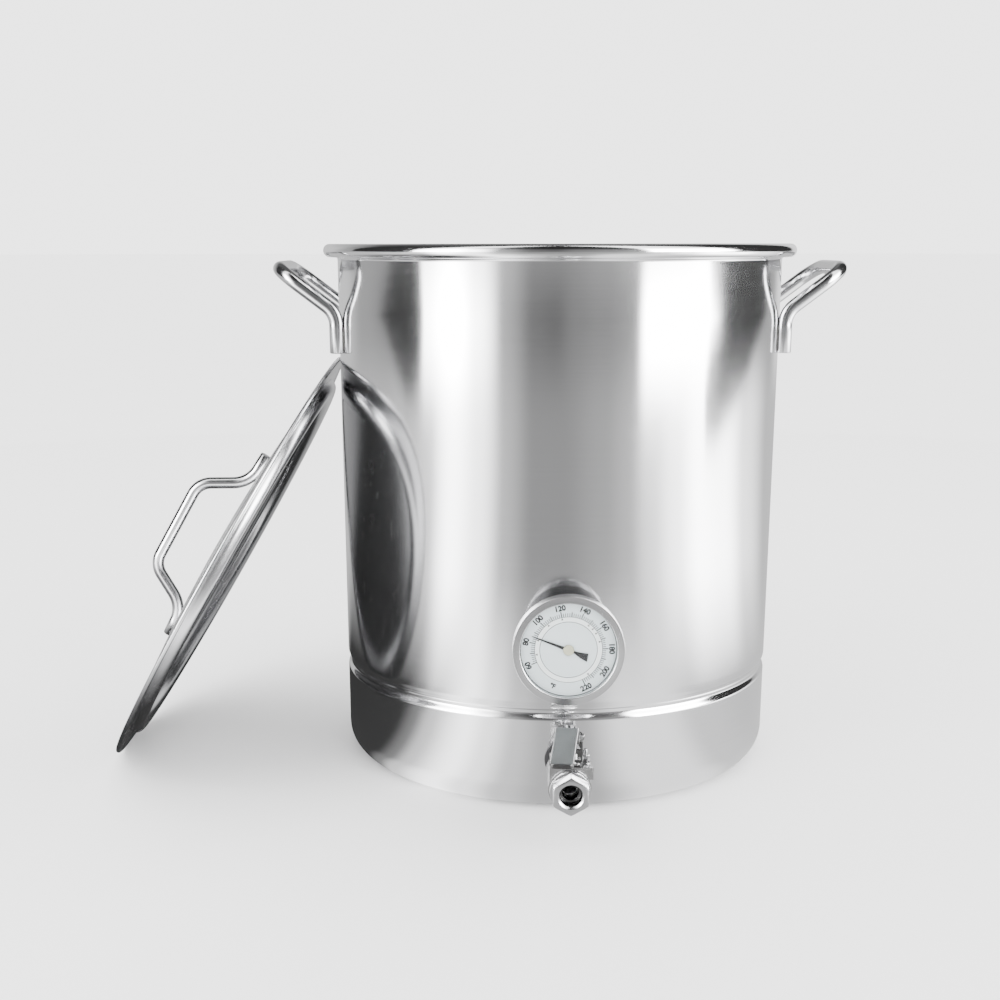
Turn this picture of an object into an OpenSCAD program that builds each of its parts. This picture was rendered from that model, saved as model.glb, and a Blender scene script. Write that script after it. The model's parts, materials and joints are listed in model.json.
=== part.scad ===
// Stainless brew kettle with a dial thermometer, a ball valve and a loose lid that leans beside it.
// Millimetres. The origin is the centre of the kettle's underside on the floor, +Z is up,
// the thermometer and the valve face -Y, and the lid leans at -X.

/* [Kettle] */
// Outer radius of the kettle's wall
kettle_r = 175; // [160:1:190]
// Height from the floor to the top of the rolled rim
kettle_h = 413; // [380:1:440]
// Thickness of the sheet steel
sheet_t = 1.2; // [1:0.1:1.5]
// Radius of the corner between the wall and the bottom
corner_r = 23; // [15:1:26]
// How far the rolled rim stands out of the wall
rim_out = 11; // [10:0.5:13]
// Height of the groove that is pressed into the wall
groove_z = 79.5; // [74:0.5:86]
// Depth of the groove
groove_depth = 2.2; // [1.5:0.1:3]

/* [Side handles] */
// Radius of the handle bar
handle_bar_r = 5.5; // [4:0.5:6]
// Distance between the two legs of a handle
handle_span = 96; // [90:1:110]
// Height of the lower ends of the legs
handle_foot_z = 331; // [325:1:340]
// How far a handle reaches out from the wall
handle_reach = 48; // [40:1:55]
// Upward slope of the handle's loop, in degrees
handle_slope = 37; // [30:1:45]

/* [Lid] */
// Outer radius of the lid
lid_r = 188; // [187:0.5:190]
// Height of the domed panel above the brim
lid_dome_h = 12; // [8:0.5:16]
// Depth of the locating step below the brim
lid_step_h = 9; // [9:0.5:11]
// Angle between the leaning lid and the floor, in degrees
lid_lean = 59.5; // [55:0.5:62]
// Radius of the lid handle's bar
lid_bar_r = 4.75; // [4:0.25:5.5]
// Height of the grip's centre line above the brim
lid_grip_h = 51; // [46:1:56]

/* [Thermometer] */
// Height of the dial's centre above the floor
dial_z = 134.5; // [132:0.5:145]
// Outer radius of the bezel
bezel_r = 40; // [38:0.5:42]
// Distance of the bezel's front face from the kettle's wall
bezel_out = 31.5; // [30:0.5:34]
// Length of the stem inside the kettle
stem_len = 62; // [50:1:75]
// Angle of the pointer, in degrees anticlockwise from the right
pointer_angle = 158.6; // [0:0.1:200]

/* [Valve] */
// Height of the valve's axis above the floor
valve_z = 43; // [42:0.5:46]
// Distance of the outlet's face from the kettle's wall
outlet_out = 79; // [78:0.5:82]
// Radius of the threaded outlet hole
outlet_r = 7.5; // [7:0.1:8]
// Width of the outlet hexagon across its flats
outlet_hex = 24.6; // [23:0.2:27]
// Length of the lever from the stem to its tip
lever_len = 103; // [80:1:110]
// Angle of the lever away from fully open, in degrees
lever_turn = 6; // [0:1:10]

/* [Hidden] */
$fn = 96;

steel = [0.80, 0.80, 0.81];
satin_steel = [0.70, 0.70, 0.71];
silicone = [0.12, 0.12, 0.13];
ptfe = [0.93, 0.93, 0.91];
brass = [0.80, 0.72, 0.45];
black = [0.07, 0.07, 0.08];
eps = 0.01;
seam_step = 0.02;
seam_lap = 0.4;

inner_r = kettle_r - sheet_t;
rim_roll_r = 5;
rim_z = kettle_h - rim_roll_r;
rim_inner_x = inner_r + rim_roll_r;
rim_outer_x = kettle_r + rim_out - rim_roll_r;
groove_half = 4.2;
groove_arc_r = (groove_half * groove_half + groove_depth * groove_depth) / (2 * groove_depth);

leg_r = kettle_r + handle_bar_r - 0.5;
leg_x = sqrt(leg_r * leg_r - handle_span * handle_span / 4);
loop_run = kettle_r + handle_reach - handle_bar_r - leg_x;
loop_len = loop_run / cos(handle_slope);
loop_corner_r = 20;
leg_bend_r = 18;
knee_z = 361.5;

lid_t = 1;
hem_r = 1.6;
hem_z = -lid_t / 2;
lid_hem_x = lid_r - hem_r;
step_x = 168;
step_round = 7.5;
channel_in_x = 149;
channel_a = channel_in_x + step_round;
channel_b = step_x - step_round;
channel_z = step_round - lid_step_h;
lid_fill_h = 30;
shoulder_r = 5;
shoulder_z = channel_z + 0.5;
dome_edge_x = channel_in_x + lid_t - shoulder_r;
dome_edge_z = shoulder_z + shoulder_r - 0.1;
dome_rise = lid_dome_h - dome_edge_z;
dome_sphere_r = (dome_edge_x * dome_edge_x + dome_rise * dome_rise) / (2 * dome_rise);
dome_centre_z = lid_dome_h - dome_sphere_r;
wall_gap = 0.3;
lid_centre = [
    -(kettle_r + wall_gap + hem_r) - lid_hem_x * cos(lid_lean) + hem_z * sin(lid_lean),
    0,
    hem_r + lid_hem_x * sin(lid_lean) - hem_z * cos(lid_lean)
];
foot_end = 88;
foot_bend = 61;
foot_bend_r = 22;
grip_half = 39.5;
grip_bend_r = 16;
foot_land = 0.4;
function foot_height(x) =
    dome_centre_z + sqrt(dome_sphere_r * dome_sphere_r - x * x) + lid_bar_r - foot_land;

seal_t = 2.5;
nut_t = 7;
washer_t = 1.5;

bezel_y = kettle_r + bezel_out;
bezel_window_r = bezel_r - 5.4;
bezel_skirt_y = bezel_y - 9;
bezel_round = 0.9;
dial_y = bezel_y - 5;
dial_t = 0.6;
case_r = bezel_r - 2;
case_back_y = kettle_r + 13;
lens_front_y = bezel_y - 1.3;
lens_back_y = lens_front_y - 1.3;
case_front_y = lens_back_y - 0.8;
bushing_r = 10.4;
stem_r = 3.2;
stem_wall = 0.6;
spindle_r = 0.8;
bush_r = 1.6;
running_gap = 0.05;
pointer_t = 0.4;
pointer_len = 28;
pointer_front_y = dial_y + 0.9;
coil_r = 1.8;
coil_wire = 0.45;
coil_turns = 8;
coil_pitch = 1.2;
coil_anchor_t = 0.6;
stem_bore_r = stem_r - stem_wall;
stem_bore_y = inner_r - stem_len + stem_r;
spindle_end_y = stem_bore_y + coil_anchor_t + coil_turns * coil_pitch / 2;

nipple_r = 8.3;
port_r = 6;
valve_inlet_y = kettle_r + 12;
ball_y = kettle_r + 47;
ball_r = 10.5;
cavity_r = 11.4;
seat_back = 11;
seat_front = 6;
outlet_y = kettle_r + outlet_out;
hex_len = 11;
thread_len = 10;
body_r = 15.3;
body_front_y = kettle_r + 63;
pad_z = valve_z + 16;
pad_t = 9;
pad_front = body_front_y - ball_y;
neck_z = pad_z + 7;
packing_r = 5.5;
packing_h = 3;
spindle_hole_r = 4;
stem_top_r = 3.2;
tongue_t = 3;
tongue_h = 3.2;
lever_base_z = neck_z + 9;
lever_t = 3;
lever_rise = 15;
lever_run = 14;
lever_knee = 14;
lever_w = 15.6;
lever_washer_t = 1;
tab_left = 3.2;
tab_right = 10.2;
tab_y = 8;
tab_t = 2;
tab_foot_z = pad_z + 1.5;
bolt_at = [11.5, -3];
lug_at = [-10.5, 0];
lug_r = 2.5;
stop_bolt_r = 1.4;

// ---------------------------------------------------------------- helpers

// A straight cylinder along -Y, from the distance a to the distance b from the kettle's axis
module rod_y(r, a, b, z = 0, x = 0) {
    translate([x, -a, z]) rotate([90, 0, 0]) cylinder(r = r, h = b - a);
}

// A hexagonal prism along -Y with two corners pointing up and down, its ends chamfered
module hex_y(flats, a, b, z = 0) {
    corner = flats / 2 / cos(30);
    intersection() {
        translate([0, -a, z]) rotate([90, 0, 0]) rotate([0, 0, 90])
            cylinder(r = corner, h = b - a, $fn = 6);
        translate([0, -a, z]) rotate([90, 0, 0]) rotate_extrude()
            polygon([
                [0, 0], [corner - 1.3, 0], [corner, 0.8],
                [corner, b - a - 0.8], [corner - 1.3, b - a], [0, b - a]
            ]);
    }
}

// A vertical hexagonal nut with a round hole
module hex_nut_z(flats, h, hole_r) {
    corner = flats / 2 / cos(30);
    difference() {
        intersection() {
            cylinder(r = corner, h = h, $fn = 6);
            rotate_extrude()
                polygon([[0, 0], [corner, 0], [corner, h - 0.6], [corner - 1, h], [0, h]]);
        }
        translate([0, 0, -1]) cylinder(r = hole_r, h = h + 2);
    }
}

function unit(v) = v / norm(v);
function turn_of(a, b) = acos(a * b);
function bend_tangent(p, i, r) =
    r * tan(turn_of(unit(p[i] - p[i - 1]), unit(p[i + 1] - p[i])) / 2);
function tangent_at(p, radii, i) = (i == 0 || i == len(p) - 1) ? 0 : bend_tangent(p, i, radii[i]);

// A round bar along a flat route in the XZ plane, with a true arc at each inner point.
// The straight stretches are a hair thinner than the arcs and end just inside them.
module bent_bar(p, radii, bar_r) {
    last = len(p) - 1;
    for (i = [0:last - 1]) {
        d = unit(p[i + 1] - p[i]);
        a = p[i] + d * (tangent_at(p, radii, i) - (i == 0 ? 0 : seam_lap));
        b = p[i + 1] - d * (tangent_at(p, radii, i + 1) - (i + 1 == last ? 0 : seam_lap));
        translate([a[0], 0, a[1]]) rotate([0, atan2(d[0], d[1]), 0])
            cylinder(r = bar_r - seam_step, h = norm(b - a));
    }
    for (i = [1:last - 1]) {
        d0 = unit(p[i] - p[i - 1]);
        d1 = unit(p[i + 1] - p[i]);
        side = sign(d0[0] * d1[1] - d0[1] * d1[0]);
        normal = [-d0[1], d0[0]] * side;
        centre = p[i] - d0 * tangent_at(p, radii, i) + normal * radii[i];
        start = atan2(-normal[1], -normal[0]);
        sweep = turn_of(d0, d1);
        translate([centre[0], 0, centre[1]]) rotate([90, 0, 0])
            rotate([0, 0, side > 0 ? start : start - sweep])
                rotate_extrude(angle = sweep) translate([radii[i], 0]) circle(r = bar_r);
    }
}

// ---------------------------------------------------------------- kettle

// Filled half section of the pressed vessel, moved inwards from its outer face by inset
module vessel_section(inset) {
    difference() {
        union() {
            translate([0, inset]) square([kettle_r - corner_r, rim_z - inset]);
            translate([0, corner_r]) square([kettle_r - inset, rim_z - corner_r]);
            intersection() {
                translate([kettle_r - corner_r, corner_r]) circle(r = corner_r - inset);
                square([kettle_r, corner_r]);
            }
        }
        translate([kettle_r + groove_arc_r - groove_depth, groove_z]) circle(r = groove_arc_r + inset);
    }
}

// The stadium outline of the rolled rim, moved inwards by inset
module rim_outline(inset) {
    r = rim_roll_r - inset;
    translate([rim_inner_x, rim_z]) circle(r = r);
    translate([rim_outer_x, rim_z]) circle(r = r);
    translate([rim_inner_x, rim_z - r]) square([rim_outer_x - rim_inner_x, 2 * r]);
}

// The curl stops short of the wall, which leaves the slit that a rolled edge has underneath
module rolled_rim() {
    slit = 3;
    difference() {
        rim_outline(0);
        rim_outline(sheet_t);
        translate([inner_r - 1, rim_z - rim_roll_r - 1]) square([sheet_t + slit + 1, rim_roll_r + 1]);
    }
}

module kettle_body() {
    color(steel) difference() {
        rotate_extrude($fn = 180) {
            difference() {
                vessel_section(0);
                vessel_section(sheet_t);
            }
            rolled_rim();
        }
        rod_y(bushing_r + 0.1, inner_r - 10, kettle_r + 5, dial_z);
        rod_y(nipple_r + 0.1, inner_r - 10, kettle_r + 5, valve_z);
    }
}

// One side handle at +X: two legs on the wall, bent out and up into a closed loop
module side_handle() {
    arm = loop_len - loop_corner_r + seam_lap;
    corner_y = handle_span / 2 - loop_corner_r;
    color(steel) difference() {
        union() {
            for (s = [-1, 1]) translate([0, s * handle_span / 2, 0]) bent_bar(
                [
                    [leg_x, handle_foot_z],
                    [leg_x, knee_z],
                    [leg_x + arm * cos(handle_slope), knee_z + arm * sin(handle_slope)]
                ],
                [0, leg_bend_r, 0],
                handle_bar_r
            );
            translate([leg_x, 0, knee_z]) rotate([0, -handle_slope, 0]) {
                for (s = [-1, 1]) translate([loop_len - loop_corner_r, s * corner_y, 0])
                    rotate([0, 0, s > 0 ? 0 : -90]) rotate_extrude(angle = 90)
                        translate([loop_corner_r, 0]) circle(r = handle_bar_r);
                translate([loop_len, -corner_y - seam_lap, 0]) rotate([-90, 0, 0])
                    cylinder(r = handle_bar_r - seam_step, h = 2 * (corner_y + seam_lap));
            }
        }
        cylinder(r = kettle_r, h = kettle_h, $fn = 180);
    }
}

module left_handle() {
    mirror([1, 0, 0]) side_handle();
}

module right_handle() {
    side_handle();
}

// ---------------------------------------------------------------- lid

// Places a child that is drawn in the lid's own frame: centre at the origin, outer face up
module leaning() {
    translate(lid_centre) rotate([0, -lid_lean, 0]) children();
}

// The channel's round-bottomed trough in the half section, widened by inset
module lid_trough(inset) {
    r = step_round - lid_t + inset;
    for (x = [channel_a, channel_b]) translate([x, channel_z]) circle(r = r);
    translate([channel_a, channel_z - r]) square([channel_b - channel_a, r]);
    translate([channel_a - r, channel_z]) square([channel_b - channel_a + 2 * r, 2 * lid_fill_h]);
}

// Everything below the lid's outer face in the half section, moved inwards by inset
module lid_fill(inset) {
    difference() {
        union() {
            intersection() {
                translate([0, dome_centre_z - inset]) circle(r = dome_sphere_r, $fn = 360);
                union() {
                    translate([-inset, channel_z]) square([dome_edge_x + inset, lid_fill_h]);
                    translate([dome_edge_x, shoulder_z]) circle(r = shoulder_r - inset);
                }
            }
            translate([-inset, -lid_fill_h - inset])
                square([channel_a + inset, shoulder_z + lid_fill_h + inset]);
            translate([channel_a - 1, -lid_fill_h - inset])
                square([lid_hem_x - channel_a + 1 + inset, lid_fill_h]);
        }
        lid_trough(inset);
    }
}

// Half section of the lid: dome, shoulder, channel, locating step, brim and hemmed edge
module lid_section() {
    difference() {
        lid_fill(0);
        lid_fill(lid_t);
    }
    translate([lid_hem_x, hem_z]) circle(r = hem_r);
}

module lid_panel() {
    color(steel) leaning() rotate_extrude($fn = 180) lid_section();
}

// Bent bar whose feet are seated on the dome
module lid_handle() {
    color(steel) leaning() difference() {
        bent_bar(
            [
                [foot_end, foot_height(foot_end)],
                [foot_bend, foot_height(foot_bend)],
                [grip_half, lid_grip_h],
                [-grip_half, lid_grip_h],
                [-foot_bend, foot_height(foot_bend)],
                [-foot_end, foot_height(foot_end)]
            ],
            [0, foot_bend_r, grip_bend_r, grip_bend_r, foot_bend_r, 0],
            lid_bar_r
        );
        translate([0, 0, dome_centre_z]) sphere(r = dome_sphere_r, $fn = 360);
    }
}

// ---------------------------------------------------------------- seals on the curved wall

// A flat-faced ring on the outside of the wall whose back follows the wall
module outer_seal(r, hole_r, thick, z) {
    difference() {
        rod_y(r, inner_r - 5, kettle_r + thick, z);
        cylinder(r = kettle_r, h = kettle_h, $fn = 360);
        rod_y(hole_r, inner_r - 6, kettle_r + thick + 1, z);
    }
}

// The same on the inside of the wall
module inner_seal(r, hole_r, thick, z) {
    difference() {
        intersection() {
            rod_y(r, inner_r - thick, kettle_r, z);
            cylinder(r = inner_r, h = kettle_h, $fn = 360);
        }
        rod_y(hole_r, inner_r - thick - 1, kettle_r + 1, z);
    }
}

// A hexagonal nut along -Y
module hex_nut_y(flats, a, b, hole_r, z) {
    difference() {
        hex_y(flats, a, b, z);
        rod_y(hole_r, a - 1, b + 1, z);
    }
}

// ---------------------------------------------------------------- thermometer

module thermometer_gasket() {
    color(silicone) outer_seal(15, bushing_r + 0.1, seal_t, dial_z);
}

// Threaded bushing: stub through the wall, hexagon outside, neck that carries the case
module thermometer_bushing() {
    color(satin_steel) difference() {
        union() {
            rod_y(bushing_r, inner_r - seal_t - nut_t - 3, kettle_r + seal_t + 1, dial_z);
            hex_y(27, kettle_r + seal_t, kettle_r + seal_t + nut_t, dial_z);
            rod_y(8.5, kettle_r + seal_t + nut_t - 1, case_back_y, dial_z);
        }
        rod_y(stem_r, inner_r - 30, case_back_y + 1, dial_z);
    }
}

module thermometer_seal() {
    color(silicone) inner_seal(15, bushing_r + 0.1, seal_t, dial_z);
}

module thermometer_locknut() {
    color(satin_steel)
        hex_nut_y(27, inner_r - seal_t - nut_t, inner_r - seal_t, bushing_r, dial_z);
}

// Closed tube that reaches into the kettle
module thermometer_stem() {
    color(satin_steel) difference() {
        union() {
            rod_y(stem_r, stem_bore_y, case_back_y, dial_z);
            translate([0, -stem_bore_y, dial_z]) sphere(r = stem_r);
        }
        rod_y(stem_bore_r, stem_bore_y, case_back_y + 1, dial_z);
    }
}

// Half turn number i of the strip, tilted so that its ends meet the half turns beside it.
// Drawn with its axis along +Z.
module coil_half_turn(i) {
    odd = i % 2;
    lap = 4;
    translate([0, 0, (i + 0.5) * coil_pitch / 2])
        rotate([0, (odd ? -1 : 1) * asin(coil_pitch / 4 / coil_r), 0])
            rotate([0, 0, odd ? 180 - lap : -lap]) rotate_extrude(angle = 180 + 2 * lap, $fn = 48)
                translate([coil_r - coil_wire / 2, -coil_wire / 2]) square(coil_wire);
}

// Helical bimetal strip on its anchor disc in the closed end of the stem
module bimetal_coil() {
    color(brass) {
        rod_y(stem_bore_r, stem_bore_y, stem_bore_y + coil_anchor_t, dial_z);
        translate([0, -stem_bore_y - coil_anchor_t + coil_wire / 2, dial_z]) rotate([90, 0, 0])
            for (i = [0:2 * coil_turns - 1]) coil_half_turn(i);
    }
}

// Round cup with a ledge for the dial
module thermometer_case() {
    color(satin_steel) difference() {
        rod_y(case_r, case_back_y, case_front_y, dial_z);
        rod_y(case_r - 3, case_back_y + 1, dial_y - dial_t, dial_z);
        rod_y(case_r - 1, dial_y - dial_t, case_front_y + 1, dial_z);
        rod_y(bush_r, case_back_y - 1, case_back_y + 2, dial_z);
    }
}

module thermometer_dial() {
    color([0.86, 0.90, 0.91]) difference() {
        rod_y(case_r - 1, dial_y - dial_t, dial_y, dial_z);
        rod_y(1.3, dial_y - 2, dial_y + 1, dial_z);
    }
}

module lens_gasket() {
    color(silicone) difference() {
        rod_y(case_r, case_front_y, lens_back_y, dial_z);
        rod_y(case_r - 3, case_front_y - 1, lens_back_y + 1, dial_z);
    }
}

module thermometer_lens() {
    color([0.85, 0.92, 0.95, 0.25]) rod_y(case_r, lens_back_y, lens_front_y, dial_z);
}

// Wide flat ring with a rolled skirt around the case
module thermometer_bezel() {
    depth = bezel_y - bezel_skirt_y;
    color(steel) translate([0, -bezel_skirt_y, dial_z]) rotate([90, 0, 0]) rotate_extrude()
        difference() {
            union() {
                square([bezel_r, depth - bezel_round]);
                square([bezel_r - bezel_round, depth]);
                translate([bezel_r - bezel_round, depth - bezel_round]) circle(r = bezel_round);
            }
            translate([-1, -1]) square([case_r + 1, lens_front_y - bezel_skirt_y + 1]);
            translate([-1, -1]) square([bezel_window_r + 1, depth + 2]);
        }
}

// Bearing bush of the spindle in the back of the case
module spindle_bush() {
    color(brass) difference() {
        union() {
            rod_y(bush_r, case_back_y, case_back_y + 1, dial_z);
            rod_y(4, case_back_y + 1, case_back_y + 3, dial_z);
        }
        rod_y(spindle_r + running_gap, case_back_y - 1, case_back_y + 4, dial_z);
    }
}

module pointer_spindle() {
    color(satin_steel) rod_y(spindle_r, spindle_end_y, pointer_front_y, dial_z);
}

// Places a flat shape that is drawn pointing along +X onto the dial, at the pointer's angle
module on_pointer(y) {
    translate([0, -y, dial_z]) rotate([90, 0, 0]) rotate([0, 0, pointer_angle]) children();
}

// Tapered needle with a flared tail
module pointer() {
    color(black) on_pointer(pointer_front_y - pointer_t) linear_extrude(pointer_t) difference() {
        union() {
            circle(r = 3.2);
            polygon([
                [pointer_len, 0.25], [2, 1.2], [-5, 0.9], [-9.5, 2.4], [-15.5, 3.4],
                [-14.2, -2.6], [-9.5, -1.6], [-5, -0.9], [2, -1.2], [pointer_len, -0.25]
            ]);
        }
        circle(r = spindle_r);
    }
}

module pointer_cap() {
    color(brass) translate([0, -pointer_front_y, dial_z]) rotate([90, 0, 0]) rotate_extrude()
        polygon([[0, 0], [3.9, 0], [3.9, 0.5], [3.5, 1], [0, 1]]);
}

// ---------------------------------------------------------------- bulkhead

module bulkhead_gasket() {
    color(silicone) outer_seal(15.5, nipple_r + 0.1, seal_t, valve_z);
}

// Tube through the wall with a hexagonal shoulder outside
module bulkhead_nipple() {
    color(satin_steel) difference() {
        union() {
            rod_y(nipple_r, inner_r - 18, valve_inlet_y + 10, valve_z);
            hex_y(24, kettle_r + seal_t, kettle_r + seal_t + nut_t, valve_z);
        }
        rod_y(port_r, inner_r - 19, valve_inlet_y + 11, valve_z);
    }
}

module bulkhead_seal() {
    color(silicone) inner_seal(14, nipple_r + 0.1, seal_t, valve_z);
}

module bulkhead_washer() {
    color(satin_steel) difference() {
        rod_y(14, inner_r - seal_t - washer_t, inner_r - seal_t, valve_z);
        rod_y(nipple_r + 0.1, inner_r - 10, kettle_r, valve_z);
    }
}

module bulkhead_locknut() {
    nut_y = inner_r - seal_t - washer_t;
    color(satin_steel) hex_nut_y(24, nut_y - nut_t, nut_y, nipple_r, valve_z);
}

// ---------------------------------------------------------------- valve

// Flat pad on top of the barrel that carries the stops
module valve_pad() {
    translate([0, -ball_y, pad_z - pad_t]) linear_extrude(pad_t) {
        polygon([
            [-14.5, -pad_front], [16.5, -pad_front], [9.5, -2], [9.5, 12], [-9.5, 12], [-11, -4]
        ]);
        for (at = [bolt_at, lug_at]) translate(at) circle(r = 4);
    }
}

// Body with its inlet hexagon, barrel, pad, stem neck and cast stop lug
module valve_body() {
    color(satin_steel) difference() {
        union() {
            hex_y(24, valve_inlet_y, valve_inlet_y + 13, valve_z);
            rod_y(body_r, valve_inlet_y + 12, body_front_y, valve_z);
            valve_pad();
            translate([0, -ball_y, valve_z + 10]) cylinder(r = 8, h = neck_z - valve_z - 10);
            translate([lug_at[0], lug_at[1] - ball_y, pad_z - 1]) cylinder(r = lug_r, h = 7);
        }
        rod_y(nipple_r, valve_inlet_y - 1, valve_inlet_y + 11, valve_z);
        rod_y(port_r, valve_inlet_y, ball_y, valve_z);
        rod_y(cavity_r, ball_y - seat_back, body_front_y + 1, valve_z);
        translate([0, -ball_y, valve_z]) cylinder(r = spindle_hole_r + running_gap, h = 60);
        translate([0, -ball_y, neck_z - packing_h]) cylinder(r = packing_r, h = packing_h + 1);
        translate([bolt_at[0], bolt_at[1] - ball_y, pad_z - pad_t - 1])
            cylinder(r = stop_bolt_r, h = pad_t + 2);
    }
}

// Screwed-in outlet end: insert, collar and threaded hexagon
module valve_end_cap() {
    color(satin_steel) difference() {
        union() {
            rod_y(cavity_r, ball_y + seat_back, body_front_y + 1, valve_z);
            rod_y(14.5, body_front_y, outlet_y - hex_len + 1, valve_z);
            hex_y(outlet_hex, outlet_y - hex_len, outlet_y, valve_z);
        }
        rod_y(port_r, ball_y, outlet_y + 1, valve_z);
        rod_y(outlet_r, outlet_y - thread_len, outlet_y + 1, valve_z);
        translate([0, -outlet_y - eps, valve_z]) rotate([-90, 0, 0])
            cylinder(r1 = outlet_r + 1.6, r2 = outlet_r - eps, h = 1.6);
    }
}

// Sealing ring between the ball and the side of the cavity at the distance a to b
module seat(a, b) {
    color(ptfe) difference() {
        rod_y(cavity_r, a, b, valve_z);
        rod_y(port_r, a - 1, b + 1, valve_z);
        translate([0, -ball_y, valve_z]) sphere(r = ball_r + running_gap);
    }
}

module inlet_seat() {
    seat(ball_y - seat_back, ball_y - seat_front);
}

module outlet_seat() {
    seat(ball_y + seat_front, ball_y + seat_back);
}

// Places what turns with the lever: the stem's axis is at the origin, the lever points along -Y
module on_stem() {
    translate([0, -ball_y, 0]) rotate([0, 0, -lever_turn]) children();
}

module valve_ball() {
    color(steel) on_stem() translate([0, 0, valve_z]) difference() {
        sphere(r = ball_r);
        translate([0, 20, 0]) rotate([90, 0, 0]) cylinder(r = port_r, h = 40);
        translate([-tongue_t / 2, -20, ball_r - tongue_h]) cube([tongue_t, 40, 10]);
    }
}

// Stem with a tongue in the ball's slot and a thinner end through the lever
module valve_stem() {
    tongue_z = valve_z + ball_r - tongue_h;
    color(steel) on_stem() {
        intersection() {
            translate([0, 0, tongue_z]) cylinder(r = spindle_hole_r, h = 5);
            translate([-tongue_t / 2, -5, tongue_z]) cube([tongue_t, 10, 5]);
        }
        translate([0, 0, valve_z + ball_r + 0.2])
            cylinder(r = spindle_hole_r, h = lever_base_z - valve_z - ball_r - 0.2);
        translate([0, 0, lever_base_z - 1]) cylinder(r = stem_top_r, h = 12);
    }
}

module stem_packing() {
    color(ptfe) translate([0, -ball_y, neck_z - packing_h]) difference() {
        cylinder(r = packing_r, h = packing_h);
        translate([0, 0, -1]) cylinder(r = spindle_hole_r + running_gap, h = packing_h + 2);
    }
}

module gland_nut() {
    color(satin_steel) translate([0, -ball_y, neck_z]) hex_nut_z(14, 5, spindle_hole_r + 0.2);
}

// Side profile of the lever's bent strip: base, riser and grip
module lever_profile() {
    polygon([
        [-11, 0], [lever_knee, 0], [lever_knee + lever_run, lever_rise], [lever_len, lever_rise],
        [lever_len, lever_rise + lever_t], [lever_knee + lever_run - 1.2, lever_rise + lever_t],
        [lever_knee - 1.2, lever_t], [-11, lever_t]
    ]);
}

// Plan outline of the lever, with a round base and rounded tip corners
module lever_plan() {
    tip_r = 2.5;
    circle(r = 11);
    translate([-lever_w / 2, -lever_len + tip_r]) square([lever_w, lever_len - tip_r]);
    translate([-lever_w / 2 + tip_r, -lever_len]) square([lever_w - 2 * tip_r, tip_r + eps]);
    for (s = [-1, 1]) translate([s * (lever_w / 2 - tip_r), -lever_len + tip_r]) circle(r = tip_r);
    translate([0, -tab_y - tab_t]) square([tab_right, tab_y]);
}

// Bent-down tab that meets the stops, with a triangular window and a hooked slot
module stop_tab() {
    tab_h = lever_base_z - tab_foot_z;
    mid = (tab_left + tab_right) / 2;
    translate([0, -tab_y, tab_foot_z]) rotate([90, 0, 0]) linear_extrude(tab_t) difference() {
        translate([tab_left, 0]) square([tab_right - tab_left, tab_h + 1]);
        polygon([[mid - 2, tab_h - 4.5], [mid + 2, tab_h - 4.5], [mid, tab_h - 0.8]]);
        translate([mid - 1.7, 2.2]) square([1.1, 4.2]);
        translate([mid - 1.7, 2.2]) square([3.4, 1.1]);
        translate([mid + 0.6, 2.2]) square([1.1, 2.2]);
    }
}

module valve_lever() {
    color(satin_steel) on_stem() difference() {
        union() {
            intersection() {
                translate([-20, 0, lever_base_z]) rotate([90, 0, 90]) linear_extrude(40)
                    mirror([1, 0]) lever_profile();
                translate([0, 0, lever_base_z - 1]) linear_extrude(lever_rise + lever_t + 2) lever_plan();
            }
            stop_tab();
        }
        translate([0, 0, lever_base_z - 1]) cylinder(r = stem_top_r, h = lever_t + 2);
        translate([7.6, 4, lever_base_z - 1]) cylinder(r = 1.5, h = lever_t + 2);
    }
}

module lever_washer() {
    color(satin_steel) on_stem() translate([0, 0, lever_base_z + lever_t]) difference() {
        cylinder(r = 6, h = lever_washer_t);
        translate([0, 0, -1]) cylinder(r = stem_top_r, h = lever_washer_t + 2);
    }
}

module lever_nut() {
    color(steel) on_stem() translate([0, 0, lever_base_z + lever_t + lever_washer_t])
        hex_nut_z(10, 4.5, stem_top_r);
}

module stop_bolt() {
    color(steel) translate([bolt_at[0], bolt_at[1] - ball_y, pad_z - pad_t])
        cylinder(r = stop_bolt_r, h = pad_t + 9.5);
}

module stop_nut() {
    color(satin_steel) translate([bolt_at[0], bolt_at[1] - ball_y, pad_z])
        hex_nut_z(5.5, 5, stop_bolt_r);
}

// ---------------------------------------------------------------- assembly

kettle_body();
left_handle();
right_handle();
lid_panel();
lid_handle();
thermometer_gasket();
thermometer_bushing();
thermometer_seal();
thermometer_locknut();
thermometer_stem();
bimetal_coil();
thermometer_case();
thermometer_dial();
lens_gasket();
thermometer_lens();
thermometer_bezel();
spindle_bush();
pointer_spindle();
pointer();
pointer_cap();
bulkhead_gasket();
bulkhead_nipple();
bulkhead_seal();
bulkhead_washer();
bulkhead_locknut();
valve_body();
valve_end_cap();
inlet_seat();
outlet_seat();
valve_ball();
valve_stem();
stem_packing();
gland_nut();
valve_lever();
lever_washer();
lever_nut();
stop_bolt();
stop_nut();
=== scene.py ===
"""Looks of the brew kettle: smooth skins, bars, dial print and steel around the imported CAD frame."""
import json
import math

import bmesh
import bpy
from mathutils import Matrix, Vector

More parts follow.
